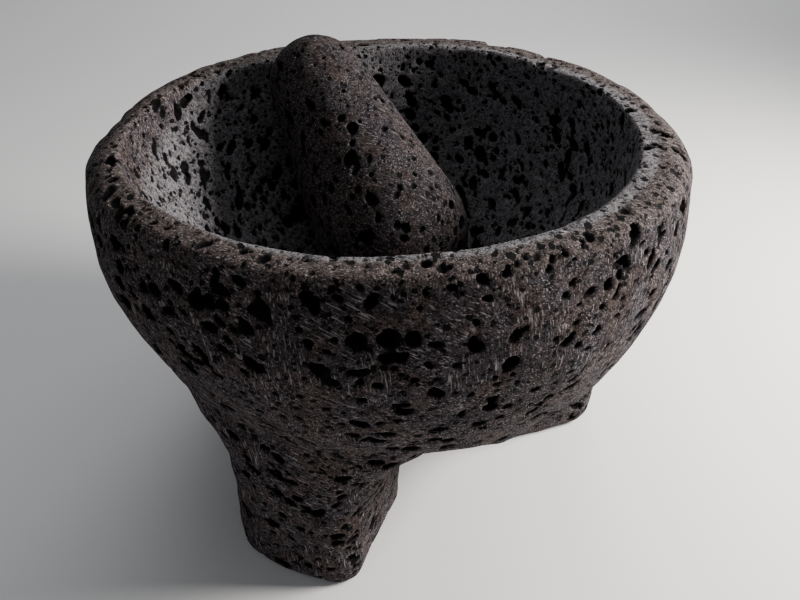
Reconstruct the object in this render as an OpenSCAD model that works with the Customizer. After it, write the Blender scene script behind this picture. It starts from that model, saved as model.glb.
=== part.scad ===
// Molcajete: a three-legged mortar carved from one block of vesicular basalt,
// with its tejolote, a loose stone pestle that lies in the hollow.
// Millimetres, +Z up. The origin is on the bowl's axis at the level that the feet stand on,
// and -Y is the front.

/* [Bowl] */
// Largest outer radius of the bowl
bowl_radius = 100; // [80:1:125]
// Height of the rim above the surface it stands on
rim_height = 134; // [110:1:165]
// Height from the bowl's widest ring up to the rim
belly_drop = 22; // [12:1:30]
// Radius of the rounding on the rim's outer edge
rim_rounding = 7; // [2:0.5:10]
// Width of the flat band on the rim
rim_flat = 9.8; // [4:0.1:16]
// Height of the bowl's underside between the legs
underside_height = 28; // [20:1:36]

/* [Hollow] */
// Thickness of the stone between the hollow's floor and the underside
floor_thickness = 31; // [20:1:40]
// Width of the worn bevel on the rim's inner edge
rim_bevel = 1.5; // [0.5:0.25:3]

/* [Legs] */
// Number of legs carved below the bowl
leg_count = 3; // [3:1:4]
// Angle of the first leg, measured from the front towards -X
first_leg_angle = 25; // [0:1:60]
// Distance that a leg's outer face lies inside the bowl's widest ring
leg_inset = 9; // [5:0.5:16]
// Depth of a foot from its outer face to its inner face
foot_depth = 49; // [38:1:58]
// Width of a foot where it stands
foot_width = 50; // [40:1:60]
// Width of a leg where its sides start to flare into the bowl
leg_width = 56; // [46:1:66]
// Width of a leg where it runs out into the bowl
shoulder_width = 98; // [80:1:106]
// Height at which a leg's sides start to flare
flare_height = 30; // [20:1:38]
// Radius of the hollow curve that each side flares along
flare_radius = 30; // [22:1:34]
// Radius that rounds a leg's upright corners, about the leg's own axis
leg_rounding_radius = 31; // [30:0.5:40]
// Chamfer round the outside of a foot
foot_chamfer = 3; // [1:0.5:5]

/* [Pestle] */
// Length of the pestle from end to end
pestle_length = 116; // [97:1:140]
// Radius of the pestle's broad grinding end
grip_broad_radius = 29; // [24:0.5:34]
// Radius of the pestle's narrow end
grip_narrow_radius = 20; // [16:0.5:24]
// Depth worn flat off the broad end
worn_depth = 4; // [1:0.5:8]
// Direction in which the pestle leans, measured from the front towards +X
lean_direction = 210; // [0:1:359]
// Gap left between the pestle and the stone that it lies against
rest_gap = 0.4; // [0.3:0.1:1]

/* [Hidden] */
$fn = 96;
stone_dark = [0.23, 0.21, 0.20];
stone_light = [0.33, 0.30, 0.28];
// How far a cutting or trimming shape runs past the stone
beyond = 20;
// How far a leg's top is sunk into the bowl's wall
leg_overlap = 5;

// The rim's rounding is a circle that touches the rim's plane and the inside of the outer ball.
belly_height = rim_height - belly_drop;
rim_round_x = sqrt(pow(bowl_radius - rim_rounding, 2) - pow(belly_drop - rim_rounding, 2));
rim_round_z = rim_height - rim_rounding;
rim_round_angle = atan2(belly_drop - rim_rounding, rim_round_x);
rim_round_top = rim_round_z + rim_rounding * sin(rim_round_angle);

// The hollow is part of a ball that passes through the rim's circle and the hollow's floor.
hollow_radius = rim_round_x - rim_flat;
hollow_floor = underside_height + floor_thickness;
hollow_depth = rim_height - hollow_floor;
hollow_ball = (hollow_radius * hollow_radius + hollow_depth * hollow_depth) / (2 * hollow_depth);
hollow_centre = hollow_floor + hollow_ball;

// A leg's own axis runs up the middle of its foot, and its outer face runs up into the bowl's wall.
leg_outer_radius = bowl_radius - leg_inset;
leg_inner_radius = leg_outer_radius - foot_depth;
leg_axis_radius = (leg_outer_radius + leg_inner_radius) / 2;
leg_top = belly_height - sqrt(pow(bowl_radius, 2) - pow(leg_outer_radius, 2)) + leg_overlap;
flare_reach = leg_width / 2 + flare_radius;

// The two end balls of the pestle lie inside the hollow's ball, one on its floor and one up its wall.
axis_length = pestle_length - grip_broad_radius - grip_narrow_radius + worn_depth;
floor_reach = hollow_ball - grip_broad_radius - rest_gap;
wall_reach = hollow_ball - grip_narrow_radius - rest_gap;
spread_cos = (pow(floor_reach, 2) + pow(wall_reach, 2) - pow(axis_length, 2)) / (2 * floor_reach * wall_reach);
spread = acos(spread_cos);
broad_centre_z = hollow_centre - floor_reach;
narrow_centre_out = wall_reach * sin(spread);
narrow_centre_z = hollow_centre - wall_reach * cos(spread);
pestle_tilt = atan2(narrow_centre_out, narrow_centre_z - broad_centre_z);
// The straight sides touch both end balls.
side_angle = asin((grip_broad_radius - grip_narrow_radius) / axis_length);

module bowl_outline() {
    intersection() {
        union() {
            intersection() {
                translate([0, belly_height]) circle(r = bowl_radius);
                square([rim_round_x, rim_height]);
            }
            intersection() {
                translate([0, belly_height]) circle(r = bowl_radius);
                square([bowl_radius + beyond, rim_round_top]);
            }
            translate([rim_round_x, rim_round_z]) circle(r = rim_rounding);
        }
        translate([0, underside_height]) square([bowl_radius + beyond, rim_height]);
    }
}

module leg_ring_outline() {
    polygon([
        [leg_inner_radius, 0],
        [leg_outer_radius - foot_chamfer, 0],
        [leg_outer_radius, foot_chamfer],
        [leg_outer_radius, leg_top],
        [leg_inner_radius, leg_top]
    ]);
}

module leg_front_outline() {
    difference() {
        polygon([
            [-foot_width / 2, 0],
            [foot_width / 2, 0],
            [leg_width / 2, flare_height],
            [shoulder_width / 2, flare_height],
            [shoulder_width / 2, leg_top],
            [-shoulder_width / 2, leg_top],
            [-shoulder_width / 2, flare_height],
            [-leg_width / 2, flare_height]
        ]);
        for (side = [-1, 1])
            translate([side * flare_reach, flare_height]) circle(r = flare_radius);
    }
}

module leg_rounding() {
    cylinder(r = leg_rounding_radius, h = flare_height);
    translate([0, 0, flare_height])
        cylinder(r1 = leg_rounding_radius, r2 = bowl_radius, h = leg_top - flare_height);
}

module leg() {
    intersection() {
        rotate_extrude() leg_ring_outline();
        translate([0, -leg_inner_radius / 2, 0]) rotate([90, 0, 0])
            linear_extrude(height = bowl_radius) leg_front_outline();
        translate([0, -leg_axis_radius, 0]) leg_rounding();
    }
}

module hollow() {
    translate([0, 0, hollow_centre]) sphere(r = hollow_ball);
    translate([0, 0, hollow_centre]) cylinder(r = hollow_ball, h = rim_height);
    translate([0, 0, rim_height - rim_bevel])
        cylinder(r1 = hollow_radius, r2 = hollow_radius + rim_bevel + beyond, h = rim_bevel + beyond);
}

module mortar() {
    color(stone_dark) difference() {
        union() {
            rotate_extrude() bowl_outline();
            for (i = [0 : leg_count - 1])
                rotate([0, 0, i * 360 / leg_count - first_leg_angle]) leg();
        }
        hollow();
    }
}

module pestle_body() {
    difference() {
        union() {
            sphere(r = grip_broad_radius);
            translate([0, 0, grip_broad_radius * sin(side_angle)])
                cylinder(
                    r1 = grip_broad_radius * cos(side_angle),
                    r2 = grip_narrow_radius * cos(side_angle),
                    h = axis_length - (grip_broad_radius - grip_narrow_radius) * sin(side_angle)
                );
            translate([0, 0, axis_length]) sphere(r = grip_narrow_radius);
        }
        translate([0, 0, worn_depth - grip_broad_radius - beyond])
            cylinder(r = grip_broad_radius + beyond, h = beyond);
    }
}

module pestle() {
    color(stone_light)
        translate([0, 0, broad_centre_z])
            rotate([0, 0, lean_direction])
                rotate([pestle_tilt, 0, 0])
                    pestle_body();
}

mortar();
pestle();
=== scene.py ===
import math
from typing import NamedTuple

import bpy
import numpy as np
from bpy.props import FloatProperty, FloatVectorProperty, IntProperty, PointerProperty
from bpy.types import Operator, Panel, PropertyGroup
from mathutils import Matrix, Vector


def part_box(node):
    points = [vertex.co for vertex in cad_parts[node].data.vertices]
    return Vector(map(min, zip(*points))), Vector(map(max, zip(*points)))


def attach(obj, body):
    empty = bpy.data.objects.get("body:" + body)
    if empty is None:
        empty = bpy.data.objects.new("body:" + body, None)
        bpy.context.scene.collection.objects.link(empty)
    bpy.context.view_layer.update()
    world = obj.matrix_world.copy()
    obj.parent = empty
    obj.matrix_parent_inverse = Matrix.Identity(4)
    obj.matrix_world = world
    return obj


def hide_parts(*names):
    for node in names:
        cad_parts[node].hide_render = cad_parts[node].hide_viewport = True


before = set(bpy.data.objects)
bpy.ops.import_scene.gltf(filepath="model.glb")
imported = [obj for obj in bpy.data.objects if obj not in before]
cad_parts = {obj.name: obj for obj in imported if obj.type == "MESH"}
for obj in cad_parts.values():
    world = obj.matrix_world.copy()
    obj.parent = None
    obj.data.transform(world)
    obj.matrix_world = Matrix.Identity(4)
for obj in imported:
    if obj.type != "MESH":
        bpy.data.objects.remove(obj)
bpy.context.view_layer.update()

bl_info = {
    "name": "Carved Basalt Molcajete",
    "version": (1, 0, 0),
    "blender": (4, 5, 0),
    "location": "3D View > Sidebar > Molcajete",
    "description": "Carves a three-legged basalt mortar and its pestle, with their vesicles",
    "category": "Add Mesh",
}

MORTAR_LOW, MORTAR_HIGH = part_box("mortar")
PESTLE_LOW, PESTLE_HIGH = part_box("pestle")
BOWL_RADIUS = (MORTAR_HIGH.x - MORTAR_LOW.x) / 2
RIM_HEIGHT = MORTAR_HIGH.z

# Lengths below are in metres, and angles in degrees from the front towards +X.


class Leg(NamedTuple):
    """One leg, with its left and right as seen from outside the bowl."""

    angle: float
    reach: float  # from the bowl's axis to the foot's outer face
    left: float  # from the leg's middle to its left side, at the foot
    right: float
    left_flare: float  # share of a full flare that this side has under the bowl
    right_flare: float


LEGS = (
    Leg(-23.5, 0.0938, 0.0228, 0.0238, 0.90, 0.74),
    Leg(96.0, 0.0890, 0.0248, 0.0250, 0.70, 1.0),
    Leg(215.0, 0.0910, 0.0230, 0.0250, 0.90, 0.8),
)
# A leg's sides slope out by this much for each metre of height, up to the flare.
FOOT_SLOPE = 0.05
# The left side widens by this much for each metre inwards from the foot's outer face.
LEFT_WEDGE = 0.2
# A full flare is an arc of this radius that starts at this height and rises this far.
FLARE_RADIUS = 0.036
FLARE_START = 0.026
FLARE_RISE = 0.033
# Where a leg's inner face lies at the foot, how fast it leans inwards, and the leg's top.
LEG_INNER = 0.043
LEG_INNER_SLOPE = 0.10
LEG_TOP = 0.066

# Round coves cut in the bowl beside the legs: their angles, radius and places.
COVES = (9.0, 133.0, 262.0)
COVE_RADIUS = 0.0395
COVE_REACH = 0.105
COVE_HEIGHT = 0.032

# Flakes knocked out of the mortar: each one's centre and its three half-lengths.
CHIPS = (
    ((0.047, 0.083, 0.135), (0.007, 0.004, 0.004)),
    ((-0.0763, -0.0728, 0.0777), (0.014, 0.014, 0.014)),
)

# The bowl's ball is smaller by this much all round, and shifted as far towards -X.
BALL_INSET = 0.0007
# The rim is trimmed, is higher on the +X side, waves a little and lifts at the back.
RIM_TRIM = 0.0004
RIM_TILT = 0.0010
RIM_WAVE = 0.0003
RIM_BACK_LIFT = 0.0003
# How much wider the rim's band is at the sides and back than at the front, how rounded its outer
# edge is at the front and back, and how much more at the sides.
RIM_BACK_WIDTH = 0.006
RIM_ROUNDING = 0.0018
RIM_SIDE_ROUNDING = 0.0084
# How much smaller the vesicles are at the rim than lower down, as a share.
RIM_CALM = 0.3

# The hollow's mouth is shifted towards -X, and widened on the left at this angle in radians.
MOUTH_SHIFT = 0.0023
MOUTH_WIDENING = 0.0030
MOUTH_WIDE_ANGLE = -1.4

# How far the pestle's worn face turns from square towards -X.
WORN_LEAN = 0.5

# How sharp a vesicle's lip is, and how rough its inside.
VESICLE_LIP = 0.00025
VESICLE_ROUGHNESS = 0.00045
# The vesicles are scattered on a skin whose grid is this many times coarser.
SKIN_COARSENESS = 3


class Finish(NamedTuple):
    """How one of the stones is finished."""

    marks: float  # how strong its dressing marks are
    pits: float  # share of places that hold a small pit
    polish: float  # how far grinding has worn it smooth
    tone: float  # how light it is; below 1 it darkens the colour as painted shade
    hollow_and_rim_share: float  # how much the hollow's ground dust and painted cool light, and the rim's lighter, warmer band and extra small pits, show


MORTAR_FINISH = Finish(marks=0.9, pits=0.75, polish=0.0, tone=1.0, hollow_and_rim_share=1.0)
# The pestle's tone below 1 is painted shade: the same basalt, darkened for the shade it lies in
# inside the bowl.
PESTLE_FINISH = Finish(marks=0.5, pits=0.6, polish=0.05, tone=0.66, hollow_and_rim_share=0.0)
PIT_SPACING = 0.0028
GRAIN_SIZE = 0.0005
CRYSTAL_SHARE = 0.75
MARK_WIDTH = 0.00045
MARK_LENGTH = 0.006
# How deep the grain, the dressing marks and the small pits are.
GRAIN_RELIEF = 0.00028
MARK_RELIEF = 0.00022
PIT_RELIEF = 0.0006


class Lamp(NamedTuple):
    """A round area light."""

    name: str
    place: tuple
    size: float
    share: float  # of the key light's power
    colour: tuple
    target: tuple


LAMPS = (
    Lamp("key_light", (0.45, 0.02, 0.31), 0.20, 1.0, (1.0, 0.96, 0.92), (0, 0, 0.09)),
    Lamp("fill_light", (-0.75, -0.35, 0.65), 0.9, 0.05, (0.86, 0.92, 1.0), (0, 0, 0.09)),
    Lamp("top_light", (0.05, 0.30, 0.95), 0.8, 0.22, (0.97, 0.98, 1.0), (0, 0, 0.09)),
    Lamp("back_light", (0.2, 1.6, 0.9), 1.2, 1.6, (0.98, 0.98, 1.0), (0.1, 1.3, 0)),
)
AIR_COLOUR = (0.93, 0.95, 1.0, 1)
AIR_STRENGTH = 0.15
FLOOR_HALF_SIDE = 3.0


# ---------------------------------------------------------------- settings


class BowlSizes(PropertyGroup):
    """Sizes of the carved mortar."""

    radius: FloatProperty(
        name="Radius", description="Largest outer radius", default=BOWL_RADIUS, unit="LENGTH"
    )
    height: FloatProperty(
        name="Height",
        description="Height of the rim above the feet",
        default=RIM_HEIGHT,
        unit="LENGTH",
    )
    belly_drop: FloatProperty(
        name="Belly Drop",
        description="Height from the widest ring up to the rim",
        default=0.022,
        unit="LENGTH",
    )
    underside: FloatProperty(
        name="Underside",
        description="Height of the underside between the legs",
        default=0.028,
        unit="LENGTH",
    )
    floor: FloatProperty(
        name="Floor",
        description="Height of the hollow's floor above the feet",
        default=0.059,
        unit="LENGTH",
    )
    mouth: FloatProperty(
        name="Mouth", description="Radius of the hollow at the rim", default=0.082, unit="LENGTH"
    )
    rim_flat: FloatProperty(
        name="Rim Flat", description="Width of the rim's flat band", default=0.0098, unit="LENGTH"
    )
    grid_step: FloatProperty(
        name="Carving Step",
        description="Spacing of the grid that the stone is carved on",
        default=0.00068,
        unit="LENGTH",
    )
    triangles: IntProperty(
        name="Triangles",
        description="Triangles that the carved mortar is thinned to",
        default=190000,
    )


class PestleSizes(PropertyGroup):
    """Sizes of the pestle. The broad end's ball lies on the hollow's floor."""

    broad: FloatProperty(
        name="Broad Radius",
        description="Radius of the grinding end",
        default=0.029,
        unit="LENGTH",
    )
    narrow: FloatProperty(
        name="Narrow Radius",
        description="Radius of the end that is held",
        default=0.020,
        unit="LENGTH",
    )
    worn: FloatProperty(
        name="Worn Depth",
        description="Depth worn flat off the broad end",
        default=0.004,
        unit="LENGTH",
    )
    gap: FloatProperty(
        name="Rest Gap",
        description="Gap between the pestle and the hollow",
        default=0.0004,
        unit="LENGTH",
    )
    length: FloatProperty(
        name="Length", description="Length from end to end", default=0.116, unit="LENGTH"
    )
    lean: FloatProperty(
        name="Lean Direction",
        description="Direction that it leans in, from the front towards +X",
        default=math.radians(210),
        subtype="ANGLE",
    )
    grid_step: FloatProperty(
        name="Carving Step",
        description="Spacing of the grid that the pestle is carved on",
        default=0.0005,
        unit="LENGTH",
    )
    triangles: IntProperty(
        name="Triangles",
        description="Triangles that the carved pestle is thinned to",
        default=110000,
    )


class Vesicles(PropertyGroup):
    """Gas bubbles that the carving has cut open."""

    density: FloatProperty(
        name="Density",
        description="Bubbles for each square metre of carved surface",
        default=35000.0,
    )
    smallest: FloatProperty(
        name="Smallest", description="Smallest bubble's radius", default=0.0010, unit="LENGTH"
    )
    largest: FloatProperty(
        name="Largest", description="Largest bubble's radius", default=0.0028, unit="LENGTH"
    )
    stretch: FloatProperty(
        name="Stretch",
        description="Length of a bubble over its width, along the bedding",
        default=1.5,
    )
    squash: FloatProperty(
        name="Squash",
        description="Height of a bubble over its width, across the bedding",
        default=0.62,
    )
    pestle_density: FloatProperty(
        name="Pestle Density", description="Bubbles for each square metre of pestle", default=22000.0
    )
    pestle_largest: FloatProperty(
        name="Pestle Largest",
        description="Largest bubble's radius in the pestle",
        default=0.0025,
        unit="LENGTH",
    )
    seed: IntProperty(name="Seed", description="Seed of the bubbles' places and sizes", default=7)


class StoneColours(PropertyGroup):
    """Colours of the stone."""

    body: FloatVectorProperty(
        name="Body",
        description="Ground mass of the stone",
        default=(0.032, 0.0268, 0.0300),
        subtype="COLOR",
        size=3,
    )
    warm: FloatVectorProperty(
        name="Warm",
        description="Browner patches",
        default=(0.042, 0.031, 0.028),
        subtype="COLOR",
        size=3,
    )
    crystal: FloatVectorProperty(
        name="Crystal",
        description="Pale crystals and bruised stone",
        default=(0.30, 0.27, 0.275),
        subtype="COLOR",
        size=3,
    )
    # Ground dust in the hollow, made lighter and bluer as painted cool light on the hollow's lit left
    # wall.
    dust_and_painted_light: FloatVectorProperty(
        name="Dust",
        description="Ground dust in the hollow",
        default=(0.112, 0.109, 0.116),
        subtype="COLOR",
        size=3,
    )
    # A lighter, warmer colour for the rim's top band.
    rim: FloatVectorProperty(
        name="Rim",
        description="Rubbed stone on the rim",
        default=(0.052, 0.041, 0.037),
        subtype="COLOR",
        size=3,
    )
    # Painted shade inside the vesicles, both carved and too small to carve.
    pit: FloatVectorProperty(
        name="Pit",
        description="Inside of the vesicles",
        default=(0.004, 0.0035, 0.004),
        subtype="COLOR",
        size=3,
    )


class StudioSettings(PropertyGroup):
    """Camera, light and floor."""

    camera_back: FloatProperty(
        name="Camera Distance",
        description="Distance in front of the bowl's axis",
        default=0.2028,
        unit="LENGTH",
    )
    camera_height: FloatProperty(
        name="Camera Height", description="Height above the floor", default=0.2142, unit="LENGTH"
    )
    camera_pitch: FloatProperty(
        name="Camera Pitch",
        description="Angle that it looks down",
        default=math.radians(37.95),
        subtype="ANGLE",
    )
    camera_yaw: FloatProperty(
        name="Camera Yaw",
        description="Angle that it looks to the right",
        default=math.radians(0.82),
        subtype="ANGLE",
    )
    camera_roll: FloatProperty(
        name="Camera Roll",
        description="Angle that it is turned clockwise",
        default=math.radians(-0.4),
        subtype="ANGLE",
    )
    lens: FloatProperty(
        name="Lens", description="Focal length in millimetres", default=28.03, unit="CAMERA"
    )
    key_power: FloatProperty(
        name="Key Light", description="Power of the key light", default=7.2, unit="POWER"
    )
    floor_colour: FloatVectorProperty(
        name="Floor",
        description="Colour of the floor",
        default=(0.88, 0.88, 0.87),
        subtype="COLOR",
        size=3,
    )


# ---------------------------------------------------------------- fields on a grid


class Block:
    """A block of stone as a grid of points. A field on it is negative where there is stone."""

    def __init__(self, low, high, step):
        self.step = step
        self.low = np.array(low, float)
        counts = np.ceil((np.array(high, float) - self.low) / step).astype(int) + 1
        self.shape = tuple(int(n) for n in counts)
        axes = [(self.low[i] + step * np.arange(self.shape[i])).astype(np.float32) for i in range(3)]
        self.x = axes[0][:, None, None]
        self.y = axes[1][None, :, None]
        self.z = axes[2][None, None, :]

    def noise(self, cell, seed):
        """Smooth noise from -1 to 1, whose lumps are about one cell across."""
        source = np.random.default_rng(seed)
        sizes = [int(n * self.step / cell) + 3 for n in self.shape]
        values = source.uniform(-1, 1, sizes).astype(np.float32)
        for axis, count in enumerate(self.shape):
            place = np.arange(count) * self.step / cell
            first = place.astype(int)
            part = place - first
            part = part * part * (3 - 2 * part)
            weights = np.zeros((count, sizes[axis]), np.float32)
            weights[np.arange(count), first] = 1 - part
            weights[np.arange(count), first + 1] += part
            values = np.moveaxis(np.tensordot(weights, values, axes=(1, axis)), 0, axis)
        return values

    def sample(self, field, points):
        """The field's value at each point, by linear interpolation."""
        place = (points - self.low) / self.step
        place = np.clip(place, 0, np.array(self.shape) - 1.001)
        first = place.astype(int)
        part = place - first
        total = np.zeros(len(points))
        for corner in range(8):
            offset = np.array([corner & 1, corner >> 1 & 1, corner >> 2 & 1])
            weight = np.prod(np.where(offset, part, 1 - part), axis=1)
            index = first + offset
            total += weight * field[index[:, 0], index[:, 1], index[:, 2]]
        return total


def blend_max(first, second, width):
    """The larger of two fields, rounded over where they are about equal."""
    share = np.clip(0.5 + 0.5 * (first - second) / width, 0, 1)
    return second + (first - second) * share + width * share * (1 - share)


def blend_min(first, second, width):
    """The smaller of two fields, filled in where they are about equal."""
    return -blend_max(-first, -second, width)


def smooth_step(value, low, high):
    """0 below low, 1 above high, and a smooth rise between."""
    share = np.clip((value - low) / (high - low), 0, 1)
    return share * share * (3 - 2 * share)


# The corners of a cell, and the pairs of corners that its edges join.
CORNERS = np.array([[i & 1, i >> 1 & 1, i >> 2 & 1] for i in range(8)])
EDGES = [(a, b) for a in range(8) for b in range(a + 1, 8) if bin(a ^ b).count("1") == 1]


def skin_of(block, field):
    """Vertices and quads of the field's zero surface, one vertex in each cell that it crosses."""
    inside = field < 0
    cells = tuple(n - 1 for n in block.shape)
    count = np.zeros(cells, np.int8)
    for dx, dy, dz in CORNERS:
        count += inside[dx : dx + cells[0], dy : dy + cells[1], dz : dz + cells[2]]
    active = np.argwhere((count > 0) & (count < 8))
    numbers = np.full(cells, -1, np.int32)
    numbers[active[:, 0], active[:, 1], active[:, 2]] = np.arange(len(active))
    corner = active[:, None, :] + CORNERS[None]
    values = field[corner[..., 0], corner[..., 1], corner[..., 2]]
    total = np.zeros((len(active), 3))
    hits = np.zeros(len(active))
    for a, b in EDGES:
        crosses = (values[:, a] < 0) != (values[:, b] < 0)
        span = np.where(crosses, values[:, a] - values[:, b], 1)
        share = np.where(crosses, values[:, a] / span, 0)[:, None]
        place = CORNERS[a] + share * (CORNERS[b] - CORNERS[a])
        total += place * crosses[:, None]
        hits += crosses
    points = block.low + block.step * (active + total / hits[:, None])
    quads = []
    for axis in range(3):
        one, two = (axis + 1) % 3, (axis + 2) % 3
        near = [slice(1, n - 1) for n in block.shape]
        near[axis] = slice(0, block.shape[axis] - 1)
        far = list(near)
        far[axis] = slice(1, block.shape[axis])
        change = inside[tuple(near)] != inside[tuple(far)]
        start = np.argwhere(change)
        for other in (one, two):
            start[:, other] += 1
        outward = inside[start[:, 0], start[:, 1], start[:, 2]]
        ring = []
        for back_one, back_two in ((0, 0), (1, 0), (1, 1), (0, 1)):
            cell = start.copy()
            cell[:, one] -= back_one
            cell[:, two] -= back_two
            ring.append(numbers[cell[:, 0], cell[:, 1], cell[:, 2]])
        ring = np.stack(ring, 1)
        quads.append(np.where(outward[:, None], ring, ring[:, ::-1]))
    return points, np.vstack(quads)


# ---------------------------------------------------------------- the two carved shapes


def bowl_wall(block, sizes):
    """The bowl without its hollow: a ball cut at the rim and underneath, with softened edges."""
    out = np.hypot(block.x + BALL_INSET, block.y)
    angle = np.arctan2(block.x, -block.y)
    ball = np.sqrt(out**2 + (block.z - sizes.height + sizes.belly_drop) ** 2)
    ball = ball - sizes.radius + BALL_INSET
    rim = sizes.height - RIM_TRIM + RIM_TILT * np.sin(angle) + RIM_WAVE * np.sin(5 * angle)
    rim = rim + RIM_BACK_LIFT * smooth_step(-np.cos(angle), 0, 1)
    edge = sizes.mouth + sizes.rim_flat + RIM_BACK_WIDTH * (1 - smooth_step(np.cos(angle), 0, 1))
    slope = math.atan2(sizes.radius - sizes.mouth - sizes.rim_flat, sizes.belly_drop)
    cone = (out - edge) * math.cos(slope) + (block.z - sizes.height) * math.sin(slope)
    wall = blend_max(ball, cone, 0.004)
    rounding = RIM_ROUNDING + RIM_SIDE_ROUNDING * np.sin(angle) ** 6
    wall = blend_max(wall, block.z - rim, rounding)
    wall = blend_max(wall, sizes.underside - block.z, 0.010)
    for degrees in COVES:
        turn = math.radians(degrees)
        aside = block.x - COVE_REACH * math.sin(turn)
        ahead = block.y + COVE_REACH * math.cos(turn)
        away = np.sqrt(aside**2 + ahead**2 + (block.z - COVE_HEIGHT) ** 2)
        wall = blend_max(wall, COVE_RADIUS - away, 0.004)
    return wall


def hollow_ball(sizes):
    """Centre height and radius of the ball that hollows the bowl."""
    depth = sizes.height - sizes.floor
    radius = (sizes.mouth**2 + depth**2) / (2 * depth)
    return sizes.floor + radius, radius


def leg_field(block, sizes, leg):
    """One leg: an upright block of stone whose sides flare into the bowl."""
    turn = math.radians(leg.angle)
    across = block.x * math.cos(turn) + block.y * math.sin(turn)
    along = block.x * math.sin(turn) - block.y * math.cos(turn)
    out = np.hypot(block.x, block.y)
    height = block.z
    rise = np.clip(height - FLARE_START, 0, FLARE_RISE)
    flare = FLARE_RADIUS - np.sqrt(FLARE_RADIUS**2 - rise**2)
    spread = FOOT_SLOPE * np.clip(height, 0, 0.03)
    right_side = across - leg.right - spread - leg.right_flare * flare
    wedge = LEFT_WEDGE * (leg.reach - along)
    left_side = -across - leg.left - spread - leg.left_flare * flare - wedge
    side = np.maximum(right_side, left_side)
    side = side * (1 - 0.35 * smooth_step(height, 0.03, 0.06))
    top_reach = sizes.radius - 0.0095
    face = out - (leg.reach + (top_reach - leg.reach) * np.clip(height / 0.07, 0, 1))
    inner = LEG_INNER - LEG_INNER_SLOPE * height - along
    stone = blend_max(face, side, 0.007 + 0.28 * np.clip(height, 0, 0.045))
    stone = blend_max(stone, inner, 0.014)
    stone = blend_max(stone, -height, 0.004)
    return blend_max(stone, height - LEG_TOP, 0.006)


def mortar_field(block, sizes):
    """The whole mortar before its vesicles are opened."""
    stone = bowl_wall(block, sizes)
    for leg in LEGS:
        stone = blend_min(stone, leg_field(block, sizes, leg), 0.006)
    stone += 0.0006 * block.noise(0.021, 11) + 0.00028 * block.noise(0.0065, 12)
    centre, radius = hollow_ball(sizes)
    hollow = np.sqrt(block.x**2 + block.y**2 + (block.z - centre) ** 2) - radius
    angle = np.arctan2(block.x, -block.y)
    wide = np.clip(np.cos(angle - MOUTH_WIDE_ANGLE), 0, 1) ** 3
    offset = MOUTH_SHIFT * np.sin(angle) - MOUTH_WIDENING * wide
    hollow += offset * smooth_step(block.z, 0.100, sizes.height)
    hollow += 0.00016 * block.noise(0.014, 13)
    ragged = 0.0016 + 0.0008 * np.sin(3 * angle)
    stone = blend_max(stone, -hollow, ragged)
    stone = np.maximum(stone, -block.z)
    return stone.astype(np.float32)


def chip(block, field, centre, size):
    """Knocks a shallow flake out of the stone."""
    place = ((block.x - centre[0]) / size[0]) ** 2 + ((block.y - centre[1]) / size[1]) ** 2
    place = np.sqrt(place + ((block.z - centre[2]) / size[2]) ** 2) - 1
    return blend_max(field, -place * min(size), 0.0006)


def pestle_pose(bowl, pestle):
    """Origin of the pestle's broad ball, the unit vector along it, and its balls' distance apart."""
    centre, radius = hollow_ball(bowl)
    apart = pestle.length - pestle.broad - pestle.narrow + pestle.worn
    low_reach = radius - pestle.broad - pestle.gap
    wall_reach = radius - pestle.narrow - pestle.gap
    cosine = (low_reach**2 + wall_reach**2 - apart**2) / (2 * low_reach * wall_reach)
    spread = math.acos(cosine)
    low = np.array((0, 0, centre - low_reach))
    out = wall_reach * math.sin(spread)
    direction = (math.sin(pestle.lean), -math.cos(pestle.lean))
    high = np.array((out * direction[0], out * direction[1], centre - wall_reach * cosine))
    return low, (high - low) / apart, apart


def pestle_field(block, bowl, pestle):
    """The pestle before its vesicles are opened: a taper between two balls, worn flat at one end."""
    low, axis, apart = pestle_pose(bowl, pestle)
    x, y, z = block.x - low[0], block.y - low[1], block.z - low[2]
    along = x * axis[0] + y * axis[1] + z * axis[2]
    out = np.sqrt(np.maximum(x**2 + y**2 + z**2 - along**2, 0))
    lean = (pestle.broad - pestle.narrow) / apart
    upright = math.sqrt(1 - lean**2)
    side = out * upright + along * lean - pestle.broad
    broad = np.sqrt(out**2 + along**2) - pestle.broad
    narrow = np.sqrt(out**2 + (along - apart) ** 2) - pestle.narrow
    stone = np.where(along * upright < out * lean, broad, side)
    stone = np.where((along - apart) * upright > out * lean, narrow, stone)
    face = np.array((-WORN_LEAN, 0, 0)) - axis
    face = face / np.linalg.norm(face)
    beyond = x * face[0] + y * face[1] + z * face[2]
    stone = blend_max(stone, beyond + pestle.worn - pestle.broad, 0.005)
    stone += 0.0003 + 0.0003 * block.noise(0.017, 21) + 0.00012 * block.noise(0.005, 22)
    return stone.astype(np.float32)


# ---------------------------------------------------------------- vesicles, as geometry nodes


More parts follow.
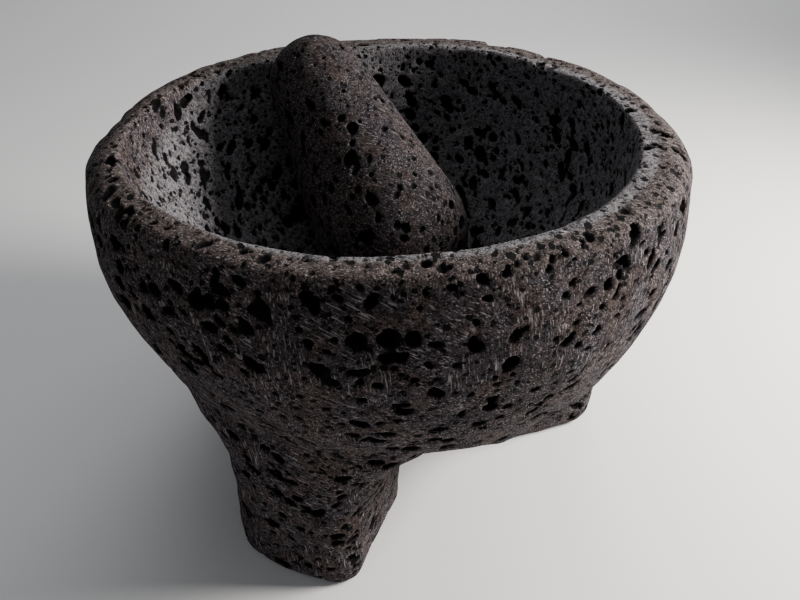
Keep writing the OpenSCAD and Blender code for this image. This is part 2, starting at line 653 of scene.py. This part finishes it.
def vesicle_tree():
    """A node tree that scatters flattened bubbles under a carved surface and gives their shells."""
    tree = bpy.data.node_groups.new("Vesicle Scatter", "GeometryNodeTree")
    face = tree.interface
    face.new_socket("Geometry", in_out="INPUT", socket_type="NodeSocketGeometry")
    for name, value in (
        ("Density", 20000.0),
        ("Smallest", 0.001),
        ("Largest", 0.003),
        ("Stretch", 1.5),
        ("Squash", 0.6),
    ):
        face.new_socket(name, in_out="INPUT", socket_type="NodeSocketFloat").default_value = value
    face.new_socket("Seed", in_out="INPUT", socket_type="NodeSocketInt").default_value = 7
    face.new_socket("Material", in_out="INPUT", socket_type="NodeSocketMaterial")
    face.new_socket("Geometry", in_out="OUTPUT", socket_type="NodeSocketGeometry")
    add, join = tree.nodes.new, tree.links.new
    given = add("NodeGroupInput")
    scatter = add("GeometryNodeDistributePointsOnFaces")
    join(given.outputs["Geometry"], scatter.inputs["Mesh"])
    join(given.outputs["Density"], scatter.inputs["Density"])
    join(given.outputs["Seed"], scatter.inputs["Seed"])

    def chance(low, high, salt):
        node = add("FunctionNodeRandomValue")
        node.inputs[2].default_value = low
        node.inputs[3].default_value = high
        seed = add("FunctionNodeIntegerMath")
        join(given.outputs["Seed"], seed.inputs[0])
        seed.inputs[1].default_value = salt
        join(seed.outputs[0], node.inputs["Seed"])
        return node.outputs[1]

    def maths(operation, first, second):
        node = add("ShaderNodeMath")
        node.operation = operation
        for socket, value in zip(node.inputs, (first, second)):
            if isinstance(value, float):
                socket.default_value = value
            else:
                join(value, socket)
        return node.outputs[0]

    share = maths("POWER", chance(0.0, 1.0, 1), 4.5)
    span = maths("SUBTRACT", given.outputs["Largest"], given.outputs["Smallest"])
    radius = maths("ADD", given.outputs["Smallest"], maths("MULTIPLY", span, share))
    depth = add("ShaderNodeVectorMath")
    depth.operation = "SCALE"
    join(scatter.outputs["Normal"], depth.inputs[0])
    join(maths("MULTIPLY", radius, chance(-0.55, 0.05, 2)), depth.inputs["Scale"])
    sink = add("GeometryNodeSetPosition")
    join(scatter.outputs["Points"], sink.inputs["Geometry"])
    join(depth.outputs[0], sink.inputs["Offset"])
    shell = add("GeometryNodeMeshIcoSphere")
    shell.inputs["Radius"].default_value = 1
    shell.inputs["Subdivisions"].default_value = 1
    turn = add("ShaderNodeCombineXYZ")
    join(chance(0.15, 0.75, 3), turn.inputs[0])
    join(chance(-0.25, 0.25, 4), turn.inputs[1])
    join(chance(-0.55, 0.55, 5), turn.inputs[2])
    size = add("ShaderNodeCombineXYZ")
    join(radius, size.inputs[0])
    stretch = maths("MULTIPLY", given.outputs["Stretch"], chance(0.75, 1.35, 6))
    squash = maths("MULTIPLY", given.outputs["Squash"], chance(0.8, 1.3, 7))
    join(maths("MULTIPLY", radius, stretch), size.inputs[1])
    join(maths("MULTIPLY", radius, squash), size.inputs[2])
    place = add("GeometryNodeInstanceOnPoints")
    join(sink.outputs["Geometry"], place.inputs["Points"])
    join(shell.outputs["Mesh"], place.inputs["Instance"])
    join(turn.outputs[0], place.inputs["Rotation"])
    join(size.outputs[0], place.inputs["Scale"])
    real = add("GeometryNodeRealizeInstances")
    join(place.outputs[0], real.inputs[0])
    paint = add("GeometryNodeSetMaterial")
    join(real.outputs[0], paint.inputs["Geometry"])
    join(given.outputs["Material"], paint.inputs["Material"])
    result = add("NodeGroupOutput")
    join(paint.outputs[0], result.inputs[0])
    return tree


def scatter_vesicles(skin, settings, material, **changes):
    """Shells of the bubbles that the skin's surface cuts, as an array of shells by corners by xyz."""
    tree = bpy.data.node_groups.get("Vesicle Scatter") or vesicle_tree()
    modifier = skin.modifiers.new("Vesicles", "NODES")
    modifier.node_group = tree
    values = {
        "Density": settings.density,
        "Smallest": settings.smallest,
        "Largest": settings.largest,
        "Stretch": settings.stretch,
        "Squash": settings.squash,
        "Seed": settings.seed,
        "Material": material,
    }
    values.update(changes)
    for item in tree.interface.items_tree:
        if item.in_out == "INPUT" and item.name in values:
            modifier[item.identifier] = values[item.name]
    shells = plain_mesh(skin)
    skin.modifiers.remove(modifier)
    if not shells.vertices:
        raise RuntimeError("no vesicle was scattered on " + skin.name)
    corners = np.empty(len(shells.vertices) * 3, np.float32)
    shells.vertices.foreach_get("co", corners)
    bpy.data.meshes.remove(shells)
    return corners.reshape(-1, 12, 3).astype(float)


def open_vesicles(block, field, shells, rough):
    """Takes each bubble out of the stone. A shell's spread gives the bubble's half-lengths."""
    centres = shells.mean(axis=1)
    spokes = shells - centres[:, None]
    spreads = np.einsum("nci,ncj->nij", spokes, spokes) / 4
    reaches = np.sqrt(np.einsum("nii->ni", spreads))
    for centre, spread, reach in zip(centres, spreads, reaches):
        first = np.floor((centre - reach * 1.35 - VESICLE_LIP - block.low) / block.step).astype(int)
        last = np.ceil((centre + reach * 1.35 + VESICLE_LIP - block.low) / block.step).astype(int) + 1
        first = np.maximum(first, 0)
        last = np.minimum(last, block.shape)
        if (last <= first).any():
            continue
        window = tuple(slice(a, b) for a, b in zip(first, last))
        x = block.x[window[0]] - centre[0]
        y = block.y[:, window[1]] - centre[1]
        z = block.z[:, :, window[2]] - centre[2]
        m = np.linalg.inv(spread)
        far = m[0, 0] * x * x + m[1, 1] * y * y + m[2, 2] * z * z
        far = far + 2 * (m[0, 1] * x * y + m[0, 2] * x * z + m[1, 2] * y * z)
        narrow = math.sqrt(np.linalg.eigvalsh(spread)[0])
        bubble = (np.sqrt(np.maximum(far, 0)) - 1) * narrow
        bubble += rough[window] * min(VESICLE_ROUGHNESS, 0.3 * narrow)
        field[window] = blend_max(field[window], -bubble, VESICLE_LIP)


# ---------------------------------------------------------------- meshes


def plain_mesh(thing):
    """The object's mesh with its modifiers applied."""
    bpy.context.view_layer.update()
    seen = thing.evaluated_get(bpy.context.evaluated_depsgraph_get())
    return bpy.data.meshes.new_from_object(seen)


def mesh_from(name, points, quads):
    """A mesh of four-sided faces."""
    mesh = bpy.data.meshes.new(name)
    mesh.vertices.add(len(points))
    mesh.vertices.foreach_set("co", points.astype(np.float32).ravel())
    mesh.loops.add(quads.size)
    mesh.loops.foreach_set("vertex_index", quads.astype(np.int32).ravel())
    mesh.polygons.add(len(quads))
    mesh.polygons.foreach_set("loop_start", np.arange(0, quads.size, 4, dtype=np.int32))
    mesh.update(calc_edges=True)
    mesh.validate()
    return mesh


def new_piece(name, mesh):
    piece = bpy.data.objects.new(name, mesh)
    bpy.context.scene.collection.objects.link(piece)
    return piece


def thin_piece(piece, triangles):
    """Thins a piece of four-sided faces to that many triangles, and leaves it with no modifier."""
    modifier = piece.modifiers.new("Thin", "DECIMATE")
    modifier.ratio = min(1, triangles / (2 * len(piece.data.polygons)))
    modifier.use_collapse_triangulate = True
    mesh = plain_mesh(piece)
    piece.modifiers.remove(modifier)
    old = piece.data
    piece.data = mesh
    bpy.data.meshes.remove(old)


def finish_surface(piece, block, field, whole, material):
    """Smooth normals from the stone's own field, how deep each point lies below the carved skin,
    and the material."""
    mesh = piece.data
    points = np.empty(len(mesh.vertices) * 3, np.float32)
    mesh.vertices.foreach_get("co", points)
    points = points.reshape(-1, 3).astype(float)
    slope = np.zeros_like(points)
    for axis in range(3):
        nudge = np.zeros(3)
        nudge[axis] = block.step * 0.9
        slope[:, axis] = block.sample(field, points + nudge) - block.sample(field, points - nudge)
    length = np.linalg.norm(slope, axis=1, keepdims=True)
    normals = slope / np.maximum(length, 1e-9)
    depth = mesh.attributes.new("depth", "FLOAT", "POINT")
    depth.data.foreach_set("value", (-block.sample(whole, points)).astype(np.float32))
    mesh.shade_smooth()
    mesh.normals_split_custom_set_from_vertices(normals.tolist())
    mesh.materials.clear()
    mesh.materials.append(material)


def carve(name, block, whole, settings, material, triangles, **changes):
    """Opens the vesicles in a block's field and makes the piece from what is left."""
    high = block.low + block.step * (np.array(block.shape) - 1)
    coarse = Block(block.low, high, block.step * SKIN_COARSENESS)
    coarse_field = whole[::SKIN_COARSENESS, ::SKIN_COARSENESS, ::SKIN_COARSENESS]
    coarse.shape = coarse_field.shape
    skin = new_piece(name + "_skin", mesh_from(name + "_skin", *skin_of(coarse, coarse_field)))
    shells = scatter_vesicles(skin, settings, material, **changes)
    old = skin.data
    bpy.data.objects.remove(skin)
    bpy.data.meshes.remove(old)
    centres = shells.mean(axis=1, keepdims=True)
    near_rim = smooth_step(centres[..., 2:], RIM_HEIGHT - 0.010, RIM_HEIGHT - 0.002)
    shells = centres + (shells - centres) * (1 - RIM_CALM * near_rim)
    field = whole.copy()
    open_vesicles(block, field, shells, block.noise(0.0021, 31))
    piece = new_piece(name, mesh_from(name, *skin_of(block, field)))
    thin_piece(piece, triangles)
    finish_surface(piece, block, field, whole, material)
    return piece


# ---------------------------------------------------------------- stone, as shader nodes


class Nodes:
    """Adds nodes to a tree and joins them, with less to write."""

    def __init__(self, tree):
        self.tree = tree

    def add(self, kind, **values):
        node = self.tree.nodes.new(kind)
        for name, value in values.items():
            setattr(node, name, value)
        return node

    def feed(self, node, **sources):
        """Feeds a node's inputs, named with _ for a space, from sockets or plain values."""
        for name, source in sources.items():
            self.put(node.inputs[name.replace("_", " ")], source)
        return node

    def put(self, socket, source):
        if isinstance(source, bpy.types.NodeSocket):
            self.tree.links.new(source, socket)
        else:
            socket.default_value = source

    def maths(self, operation, *sources):
        node = self.add("ShaderNodeMath", operation=operation)
        for socket, source in zip(node.inputs, sources):
            self.put(socket, source)
        return node.outputs[0]

    def ramp(self, source, low, high, start=0.0, end=1.0):
        """Maps low..high smoothly to start..end."""
        node = self.add("ShaderNodeMapRange", interpolation_type="SMOOTHSTEP")
        for socket, value in zip(node.inputs, (source, low, high, start, end)):
            self.put(socket, value)
        return node.outputs[0]

    def stretch(self, vector, scale, turn=(0.0, 0.0, 0.0)):
        node = self.add("ShaderNodeMapping")
        self.put(node.inputs["Vector"], vector)
        node.inputs["Scale"].default_value = scale
        node.inputs["Rotation"].default_value = turn
        return node.outputs[0]

    def noise(self, vector, scale, detail=2.0, roughness=0.5):
        node = self.add("ShaderNodeTexNoise")
        self.put(node.inputs["Vector"], vector)
        self.put(node.inputs["Scale"], scale)
        node.inputs["Detail"].default_value = detail
        node.inputs["Roughness"].default_value = roughness
        return node.outputs["Fac"]

    def mix(self, share, first, second, blend_type="MIX"):
        node = self.add("ShaderNodeMix", data_type="RGBA", blend_type=blend_type)
        self.put(node.inputs[0], share)
        self.put(node.inputs[6], first)
        self.put(node.inputs[7], second)
        return node.outputs[2]


def shader_group(name, inputs, outputs):
    """A new shader node group with those float inputs (and a Vector), and its node helper."""
    tree = bpy.data.node_groups.new(name, "ShaderNodeTree")
    tree.interface.new_socket("Vector", in_out="INPUT", socket_type="NodeSocketVector")
    for label, value in inputs:
        socket = tree.interface.new_socket(label, in_out="INPUT", socket_type="NodeSocketFloat")
        socket.default_value = value
    for label in outputs:
        tree.interface.new_socket(label, in_out="OUTPUT", socket_type="NodeSocketFloat")
    nodes = Nodes(tree)
    return tree, nodes, nodes.add("NodeGroupInput"), nodes.add("NodeGroupOutput")


def grain_group():
    """The stone's ground mass: fine speckle, pale crystals and broad brown patches."""
    tree, nodes, given, result = shader_group(
        "Basalt Grain",
        [("Grain", 0.0005), ("Crystals", 0.5)],
        ("Speckle", "Crystal", "Warmth", "Height"),
    )
    scale = nodes.maths("DIVIDE", 1.0, given.outputs["Grain"])
    fine = nodes.noise(given.outputs["Vector"], scale, 3.0, 0.65)
    coarse = nodes.noise(given.outputs["Vector"], nodes.maths("MULTIPLY", scale, 0.28), 3.0, 0.6)
    cloudy = nodes.noise(given.outputs["Vector"], nodes.maths("MULTIPLY", scale, 0.06), 2.0, 0.5)
    speckle = nodes.maths("MULTIPLY_ADD", fine, 0.6, nodes.maths("MULTIPLY", coarse, 0.4))
    laths = nodes.stretch(given.outputs["Vector"], (1.0, 1.0, 2.2), (0.5, 0.3, 0.0))
    cells = nodes.add("ShaderNodeTexVoronoi", feature="F1")
    nodes.feed(cells, Vector=laths, Scale=nodes.maths("MULTIPLY", scale, 0.55), Randomness=1.0)
    core = nodes.ramp(cells.outputs["Distance"], 0.10, 0.34, 1.0, 0.0)
    chosen = nodes.add("ShaderNodeSeparateColor")
    nodes.put(chosen.inputs[0], cells.outputs["Color"])
    share = nodes.maths("MULTIPLY", given.outputs["Crystals"], 0.5)
    wanted = nodes.maths("LESS_THAN", chosen.outputs[0], share)
    crystal = nodes.maths("MULTIPLY", core, wanted)
    nodes.put(result.inputs["Speckle"], nodes.ramp(speckle, 0.36, 0.66))
    nodes.put(result.inputs["Crystal"], crystal)
    nodes.put(result.inputs["Warmth"], nodes.ramp(cloudy, 0.42, 0.66))
    nodes.put(result.inputs["Height"], nodes.maths("MULTIPLY_ADD", crystal, 0.15, speckle))
    return tree


def pits_group():
    """Vesicles too small to carve: scattered pits of mixed sizes, whose mask the material paints
    near-black as shade.
    """
    tree, nodes, given, result = shader_group(
        "Fine Pits", [("Spacing", 0.003), ("Amount", 0.5)], ("Pit", "Height")
    )
    scale = nodes.maths("DIVIDE", 1.0, given.outputs["Spacing"])
    flow = nodes.stretch(given.outputs["Vector"], (1.0, 0.72, 1.25), (0.45, 0.0, 0.0))
    wobble = nodes.add("ShaderNodeTexNoise")
    nodes.feed(wobble, Vector=flow, Scale=nodes.maths("MULTIPLY", scale, 1.7), Detail=2.0)
    nudge = nodes.add("ShaderNodeVectorMath", operation="MULTIPLY_ADD")
    nodes.put(nudge.inputs[0], wobble.outputs["Color"])
    reach = nodes.maths("MULTIPLY", given.outputs["Spacing"], 0.75)
    steps = nodes.add("ShaderNodeCombineXYZ")
    for socket in steps.inputs:
        nodes.put(socket, reach)
    nodes.put(nudge.inputs[1], steps.outputs[0])
    nodes.put(nudge.inputs[2], flow)
    cells = nodes.add("ShaderNodeTexVoronoi", feature="F1")
    nodes.feed(cells, Vector=nudge.outputs[0], Scale=scale, Randomness=1.0)
    chance = nodes.add("ShaderNodeSeparateColor")
    nodes.put(chance.inputs[0], cells.outputs["Color"])
    size = nodes.maths("MULTIPLY", nodes.maths("POWER", chance.outputs[1], 1.6), 0.26)
    size = nodes.maths("ADD", size, 0.18)
    wanted = nodes.maths("LESS_THAN", chance.outputs[0], given.outputs["Amount"])
    depth = nodes.maths("SUBTRACT", 1.0, nodes.maths("DIVIDE", cells.outputs["Distance"], size))
    pit = nodes.maths("MULTIPLY", nodes.ramp(depth, -0.03, 0.16), wanted)
    nodes.put(result.inputs["Pit"], pit)
    nodes.put(result.inputs["Height"], nodes.maths("MULTIPLY", pit, -1.0))
    return tree


def marks_group():
    """Fine parallel scratches left by dressing the stone, in patches that run two ways."""
    tree, nodes, given, result = shader_group(
        "Dressing Marks", [("Width", 0.0004), ("Length", 0.006)], ("Mark", "Height")
    )
    fine = nodes.maths("DIVIDE", 1.0, given.outputs["Width"])
    long = nodes.maths("DIVIDE", 1.0, given.outputs["Length"])

    def scratches(turn):
        rough = nodes.add("ShaderNodeVectorRotate", rotation_type="EULER_XYZ")
        nodes.put(rough.inputs["Vector"], given.outputs["Vector"])
        rough.inputs["Rotation"].default_value = turn
        apart = nodes.add("ShaderNodeSeparateXYZ")
        nodes.put(apart.inputs[0], rough.outputs[0])
        thin = nodes.add("ShaderNodeCombineXYZ")
        nodes.put(thin.inputs[0], nodes.maths("MULTIPLY", apart.outputs[0], fine))
        nodes.put(thin.inputs[1], nodes.maths("MULTIPLY", apart.outputs[1], fine))
        nodes.put(thin.inputs[2], nodes.maths("MULTIPLY", apart.outputs[2], long))
        return nodes.noise(thin.outputs[0], 1.0, 2.0, 0.6)

    patches = nodes.noise(given.outputs["Vector"], 55.0, 2.0, 0.5)
    upright = scratches((0.12, 0.1, 0.0))
    slanting = scratches((0.5, 1.1, 0.2))
    choice = nodes.ramp(patches, 0.44, 0.54)
    both = nodes.add("ShaderNodeMix", data_type="FLOAT")
    nodes.put(both.inputs[0], choice)
    nodes.put(both.inputs[2], upright)
    nodes.put(both.inputs[3], slanting)
    nodes.put(result.inputs["Mark"], nodes.ramp(both.outputs[0], 0.54, 0.72))
    nodes.put(result.inputs["Height"], nodes.maths("MULTIPLY", both.outputs[0], -1.0))
    return tree


GROUPS = {
    "Basalt Grain": grain_group,
    "Fine Pits": pits_group,
    "Dressing Marks": marks_group,
}


def shared_group(label):
    """The shader group of that name, made when it's first asked for."""
    return bpy.data.node_groups.get(label) or GROUPS[label]()


def stone_material(name, colours, bowl, finish):
    """Vesicular basalt with that finish: its vesicles and small pits hold painted shade, and on the
    mortar the hollow gets ground dust with painted cool light and the rim's top band a lighter,
    warmer colour.
    """
    material = bpy.data.materials.new(name)
    material.use_nodes = True
    nodes = Nodes(material.node_tree)
    shader = material.node_tree.nodes["Principled BSDF"]
    place = nodes.add("ShaderNodeTexCoord").outputs["Object"]

    def group(label, **values):
        node = nodes.add("ShaderNodeGroup")
        node.node_tree = shared_group(label)
        return nodes.feed(node, Vector=place, **values)

    grain = group("Basalt Grain", Grain=GRAIN_SIZE, Crystals=CRYSTAL_SHARE)
    apart = nodes.add("ShaderNodeSeparateXYZ")
    nodes.put(apart.inputs[0], place)
    rim = nodes.ramp(apart.outputs[2], bowl.height - 0.0035, bowl.height - 0.0015)
    crowded = nodes.maths("MULTIPLY_ADD", rim, 0.25 * finish.hollow_and_rim_share, finish.pits)
    holes = group("Fine Pits", Spacing=PIT_SPACING, Amount=crowded)
    specks = group("Fine Pits", Spacing=PIT_SPACING * 0.55, Amount=finish.pits * 0.8)
    dressing = group("Dressing Marks", Width=MARK_WIDTH, Length=MARK_LENGTH)
    depth = nodes.add("ShaderNodeAttribute", attribute_name="depth").outputs["Fac"]
    opened = nodes.ramp(depth, 0.00012, 0.00065)
    skin = nodes.maths("SUBTRACT", 1.0, opened)
    faint = nodes.maths("MULTIPLY", specks.outputs["Pit"], 0.8)
    pitted = nodes.maths("MAXIMUM", holes.outputs["Pit"], faint)
    pitted = nodes.maths("MULTIPLY", pitted, skin)
    body = nodes.mix(grain.outputs["Warmth"], (*colours.body, 1), (*colours.warm, 1))
    shade = nodes.ramp(grain.outputs["Speckle"], 0.0, 1.0, 0.30 * finish.tone, 2.0 * finish.tone)
    grey = nodes.add("ShaderNodeCombineColor")
    for socket in grey.inputs:
        nodes.put(socket, shade)
    body = nodes.mix(1.0, body, grey.outputs[0], "MULTIPLY")
    centre, radius = hollow_ball(bowl)
    inward = nodes.add("ShaderNodeVectorMath", operation="DISTANCE")
    nodes.put(inward.inputs[0], place)
    inward.inputs[1].default_value = (0, 0, centre)
    reach = inward.outputs["Value"]
    # Ground dust and painted cool light: the hollow's face is brightened and cooled, standing in for
    # the light that falls on its left wall.
    hollow = nodes.ramp(reach, radius + 0.0024, radius + 0.0042, 0.75 * finish.hollow_and_rim_share, 0.0)
    # The rim's top band, picked out by height, takes a lighter, warmer colour.
    rim_band_colour = nodes.mix(1.0, (*colours.rim, 1), grey.outputs[0], "MULTIPLY")
    body = nodes.mix(nodes.maths("MULTIPLY", rim, 0.85 * finish.hollow_and_rim_share), body, rim_band_colour)
    dust_and_painted_light = nodes.mix(1.0, (*colours.dust_and_painted_light, 1), grey.outputs[0], "MULTIPLY")
    body = nodes.mix(hollow, body, dust_and_painted_light)
    bruised = nodes.maths("MULTIPLY", skin, finish.marks)
    bruised = nodes.maths("MULTIPLY", dressing.outputs["Mark"], bruised)
    body = nodes.mix(bruised, body, (*colours.crystal, 1))
    sparkle = nodes.maths("MULTIPLY", skin, 0.75)
    sparkle = nodes.maths("MULTIPLY", grain.outputs["Crystal"], sparkle)
    body = nodes.mix(sparkle, body, (*colours.crystal, 1))
    # Painted shade: the inside of carved vesicles and the small pits are painted near-black.
    painted_pit_shade = nodes.maths("MAXIMUM", pitted, nodes.maths("MULTIPLY", opened, 0.95))
    body = nodes.mix(painted_pit_shade, body, (*colours.pit, 1))
    nodes.put(shader.inputs["Base Color"], body)
    rough = nodes.ramp(grain.outputs["Speckle"], 0.0, 1.0, 0.92 - finish.polish, 0.72 - finish.polish)
    nodes.put(shader.inputs["Roughness"], rough)
    shader.inputs["Specular IOR Level"].default_value = 0.06
    relief = nodes.maths("MULTIPLY", grain.outputs["Height"], GRAIN_RELIEF)
    cut = MARK_RELIEF * finish.marks
    relief = nodes.maths("MULTIPLY_ADD", dressing.outputs["Height"], cut, relief)
    relief = nodes.maths("MULTIPLY_ADD", holes.outputs["Height"], PIT_RELIEF, relief)
    bump = nodes.add("ShaderNodeBump")
    nodes.feed(bump, Strength=0.85, Distance=1.0, Height=relief)
    nodes.put(shader.inputs["Normal"], bump.outputs[0])
    return material


# ---------------------------------------------------------------- operators


class CarveMortar(Operator):
    """Carve the mortar: the bowl, its hollow, its legs and their vesicles"""

    bl_idname = "molcajete.carve_mortar"
    bl_label = "Carve Mortar"

    def execute(self, context):
        scene = context.scene
        sizes = scene.bowl_sizes
        step = sizes.grid_step * 1
        edge = 3 * step
        reach = sizes.radius + 0.002
        block = Block((-reach, -reach, -edge), (reach, reach, sizes.height + 0.003), step)
        whole = mortar_field(block, sizes)
        for centre, size in CHIPS:
            whole = chip(block, whole, centre, size)
        material = stone_material("mortar_basalt", scene.stone_colours, sizes, MORTAR_FINISH)
        piece = carve("molcajete_mortar", block, whole, scene.vesicles, material, sizes.triangles)
        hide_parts("mortar")
        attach(piece, "mortar")
        return {"FINISHED"}


class CarvePestle(Operator):
    """Carve the pestle where it lies in the hollow, with its worn end and its vesicles"""

    bl_idname = "molcajete.carve_pestle"
    bl_label = "Carve Pestle"

    def execute(self, context):
        scene = context.scene
        sizes = scene.pestle_sizes
        bowl = scene.bowl_sizes
        vesicles = scene.vesicles
        step = sizes.grid_step * 1
        edge = np.full(3, 4 * step)
        block = Block(np.array(PESTLE_LOW) - edge, np.array(PESTLE_HIGH) + edge, step)
        whole = pestle_field(block, bowl, sizes)
        material = stone_material("pestle_basalt", scene.stone_colours, bowl, PESTLE_FINISH)
        piece = carve(
            "tejolote_pestle",
            block,
            whole,
            vesicles,
            material,
            sizes.triangles,
            Density=vesicles.pestle_density,
            Largest=vesicles.pestle_largest,
        )
        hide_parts("pestle")
        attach(piece, "pestle")
        return {"FINISHED"}


class SetStudio(Operator):
    """Lay the floor and set the lights and the camera"""

    bl_idname = "molcajete.set_studio"
    bl_label = "Set Studio"

    def execute(self, context):
        scene = context.scene
        studio = scene.studio_settings
        self.lay_floor(studio)
        for lamp in LAMPS:
            self.hang_light(lamp, studio.key_power)
        world = bpy.data.worlds.new("studio_air")
        world.use_nodes = True
        air = world.node_tree.nodes["Background"]
        air.inputs["Color"].default_value = AIR_COLOUR
        air.inputs["Strength"].default_value = AIR_STRENGTH
        scene.world = world
        self.set_camera(scene, studio)
        return {"FINISHED"}

    def lay_floor(self, studio):
        corners = np.array([(-1, -1, 0), (1, -1, 0), (1, 1, 0), (-1, 1, 0)]) * FLOOR_HALF_SIDE
        quad = np.array([[0, 1, 2, 3]])
        floor = new_piece("studio_floor", mesh_from("studio_floor", corners, quad))
        material = bpy.data.materials.new("pale_floor")
        material.use_nodes = True
        nodes = Nodes(material.node_tree)
        shader = material.node_tree.nodes["Principled BSDF"]
        place = nodes.add("ShaderNodeTexCoord").outputs["Object"]
        cloud = nodes.noise(place, 3.0, 3.0)
        shaded = [0.97 * part for part in studio.floor_colour]
        tone = nodes.mix(cloud, (*shaded, 1), (*studio.floor_colour, 1))
        nodes.put(shader.inputs["Base Color"], tone)
        shader.inputs["Roughness"].default_value = 0.75
        floor.data.materials.append(material)

    def hang_light(self, lamp, key_power):
        light = bpy.data.lights.new(lamp.name, "AREA")
        light.shape = "DISK"
        light.size = lamp.size
        light.energy = key_power * lamp.share
        light.color = lamp.colour
        hung = bpy.data.objects.new(lamp.name, light)
        hung.location = lamp.place
        aim = np.array(lamp.target) - np.array(lamp.place)
        tilt = math.atan2(math.hypot(aim[0], aim[1]), -aim[2])
        hung.rotation_euler = (tilt, 0, math.atan2(-aim[0], aim[1]))
        bpy.context.scene.collection.objects.link(hung)

    def set_camera(self, scene, studio):
        camera = bpy.data.cameras.new("studio_camera")
        camera.lens = studio.lens
        camera.sensor_width = 36
        camera.clip_start = 0.005
        tilt = math.pi / 2 - studio.camera_pitch
        turn = Matrix.Rotation(-studio.camera_yaw, 4, "Z") @ Matrix.Rotation(tilt, 4, "X")
        turn = turn @ Matrix.Rotation(-studio.camera_roll, 4, "Z")
        place = Matrix.Translation((0, -studio.camera_back, studio.camera_height))
        eye = bpy.data.objects.new("studio_camera", camera)
        eye.matrix_world = place @ turn
        scene.collection.objects.link(eye)
        scene.camera = eye


class MolcajetePanel(Panel):
    """Sizes, colours and the steps that build the molcajete"""

    bl_idname = "VIEW3D_PT_molcajete"
    bl_label = "Molcajete"
    bl_space_type = "VIEW_3D"
    bl_region_type = "UI"
    bl_category = "Molcajete"

    def draw(self, context):
        layout = self.layout
        for step in STEPS:
            layout.operator(step.bl_idname)
        for name, group in SETTINGS:
            box = layout.box()
            box.label(text=group.__doc__)
            for field in group.__annotations__:
                box.prop(getattr(context.scene, name), field)


SETTINGS = (
    ("bowl_sizes", BowlSizes),
    ("pestle_sizes", PestleSizes),
    ("vesicles", Vesicles),
    ("stone_colours", StoneColours),
    ("studio_settings", StudioSettings),
)
STEPS = (CarveMortar, CarvePestle, SetStudio)


def register():
    for name, group in SETTINGS:
        bpy.utils.register_class(group)
        setattr(bpy.types.Scene, name, PointerProperty(type=group))
    for item in (*STEPS, MolcajetePanel):
        bpy.utils.register_class(item)


def unregister():
    for item in (MolcajetePanel, *STEPS):
        bpy.utils.unregister_class(item)
    for name, group in reversed(SETTINGS):
        delattr(bpy.types.Scene, name)
        bpy.utils.unregister_class(group)


def main():
    register()
    bpy.ops.molcajete.carve_mortar()
    bpy.ops.molcajete.carve_pestle()
    bpy.ops.molcajete.set_studio()


if __name__ == "__main__":
    main()
